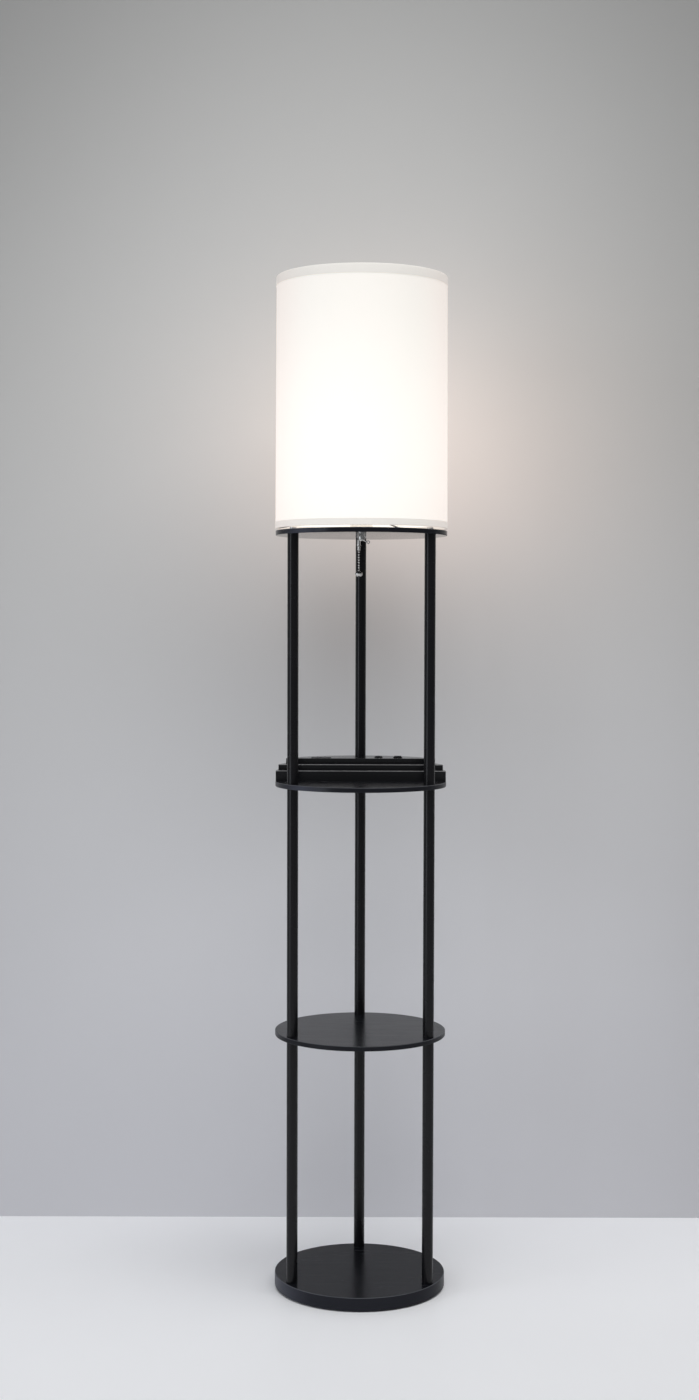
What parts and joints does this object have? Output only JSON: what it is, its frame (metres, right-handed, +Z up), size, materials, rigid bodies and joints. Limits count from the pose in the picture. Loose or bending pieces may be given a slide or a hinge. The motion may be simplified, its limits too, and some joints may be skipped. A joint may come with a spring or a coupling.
{
  "type": "shelf floor lamp",
  "caption": "Tall floor lamp with round shelves on slim poles, a stepped charging unit with a rocker and a button, a bead pull chain and a drum shade.",
  "frame": {"origin": "on the floor, under the centre of the round base", "axes": "+Z up along the lamp, -Y to the front, +X to the right seen from the front"},
  "size_m": [0.2899, 0.2898, 1.7011],
  "materials": {
    "black_board": "black satin laminate with a faint grain, painted edge",
    "black_steel": "black satin powder coat",
    "black_plastic": "black satin moulded plastic",
    "tray_plastic": "dark grey moulded plastic",
    "switch_plastic": "black semi-gloss moulded plastic",
    "part_plastic": "plain electronic part",
    "circuit_board": "green solder mask",
    "steel": "zinc plated",
    "chrome": "nickel plated, bright",
    "brass": "plain",
    "socket_plastic": "ivory moulded plastic",
    "aluminium": "rolled",
    "bulb_glass": "frosted, lit",
    "shade_fabric": "off-white linen-look fabric on a stiff liner",
    "shade_trim": "off-white woven tape",
    "lead_cover": "black flexible cover",
    "pad_felt": "dark grey felt"
  },
  "bodies": {
    "lamp": {"ac_outlet": "black_plastic", "base_board": "black_board", "base_screws": "steel", "base_washers": "steel", "board_components": "part_plastic", "bulb_base": "aluminium", "bulb_glass": "bulb_glass", "button_bezel": "black_plastic", "button_switch": "part_plastic", "chain_guide": "chrome", "charger_board": "circuit_board", "cord_gland": "black_plastic", "foot_pads": "pad_felt", "joining_studs": "steel", "lamp_lead": "lead_cover", "lead_nipple": "steel", "lead_nipple_nut": "steel", "lower_pole_back": "black_steel", "lower_pole_left": "black_steel", "lower_pole_right": "black_steel", "lower_shelf": "black_board", "mains_lead": "lead_cover", "middle_pole_back": "black_steel", "middle_pole_left": "black_steel", "middle_pole_right": "black_steel", "outlet_contacts": "brass", "plate_screws": "steel", "pole_inserts": "steel", "pull_switch_body": "socket_plastic", "pull_switch_nut": "chrome", "rocker_frame": "black_plastic", "shade_bottom_hem": "shade_trim", "shade_frame": "steel", "shade_panel": "shade_fabric", "shade_top_hem": "shade_trim", "shade_top_ring": "steel", "socket_body": "socket_plastic", "socket_cap": "socket_plastic", "socket_contact": "brass", "socket_locknut": "steel", "socket_nipple": "steel", "socket_ring": "socket_plastic", "socket_screw_shell": "aluminium", "station_cover": "black_plastic", "station_screws": "steel", "station_shelf": "black_board", "station_tray": "tray_plastic", "switch_lead": "lead_cover", "terminal_block": "part_plastic", "top_plate": "black_board", "upper_pole_back": "black_steel", "upper_pole_left": "black_steel", "upper_pole_right": "black_steel", "usb_ports": "steel", "usb_tongues": "black_plastic"},
    "chain": {"chain_connector": "chrome", "pull_chain": "chrome", "chain_fob": "chrome"},
    "rocker": {"rocker_paddle": "switch_plastic"},
    "button": {"button_cap": "switch_plastic"}
  },
  "joints": [
    {"name": "chain_pull", "type": "slide", "parent": "lamp", "child": "chain", "axis": [0, 0, -1], "range_m": [0, 0.007], "stiffness_N_per_m": 400, "springref_m": -0.004},
    {"name": "rocker_tip", "type": "hinge", "parent": "lamp", "child": "rocker", "pos_m": [0.0645, 0.095, 0.892], "axis": [1, 0, 0], "range_deg": [0, 12]},
    {"name": "button_press", "type": "slide", "parent": "lamp", "child": "button", "axis": [0, 0, -1], "range_m": [0, 0.0012], "stiffness_N_per_m": 800, "springref_m": -0.0005}
  ]
}
